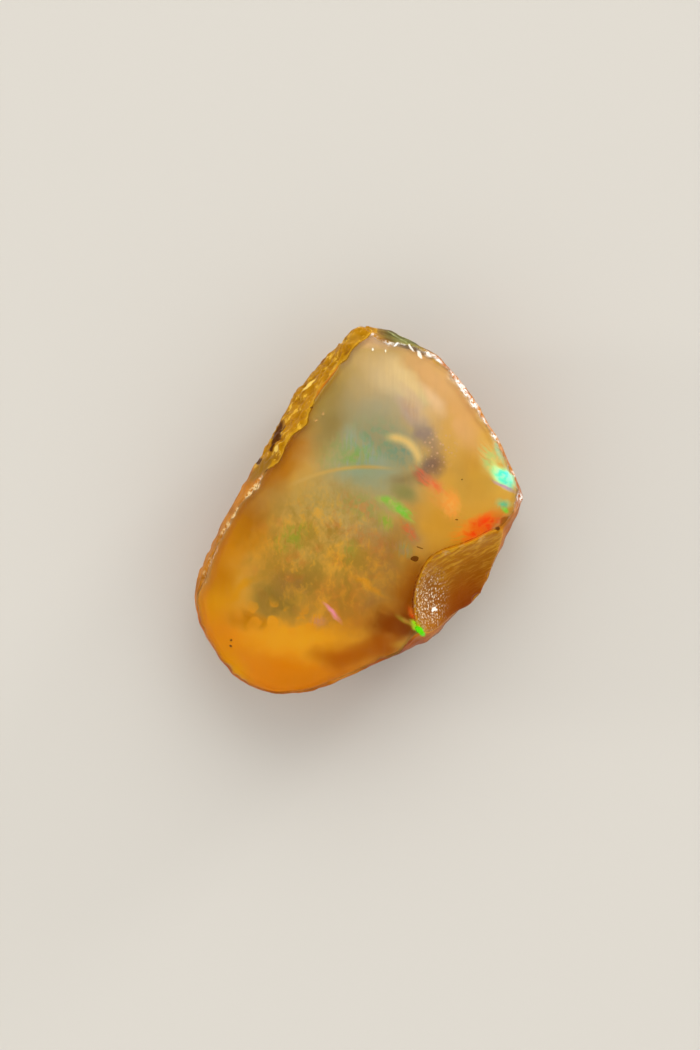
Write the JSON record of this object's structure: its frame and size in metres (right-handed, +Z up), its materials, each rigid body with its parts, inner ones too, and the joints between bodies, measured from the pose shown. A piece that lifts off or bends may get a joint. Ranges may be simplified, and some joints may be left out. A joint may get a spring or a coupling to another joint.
{
  "type": "rough opal",
  "caption": "Natural rough precious opal with a smooth domed window face, a chipped rim, a crusted side wall and shell-shaped breaks, lying on a flat break.",
  "frame": {"origin": "on the surface the stone lies on, under the middle of its bounding box", "axes": "+Z up out of the window face, +Y along the stone's length towards its wide chipped end, +X towards the shell-shaped break"},
  "size_m": [0.0328, 0.0476, 0.016],
  "materials": {
    "opal": "gloss"
  },
  "bodies": {
    "root": {"opal": "opal"}
  },
  "joints": []
}
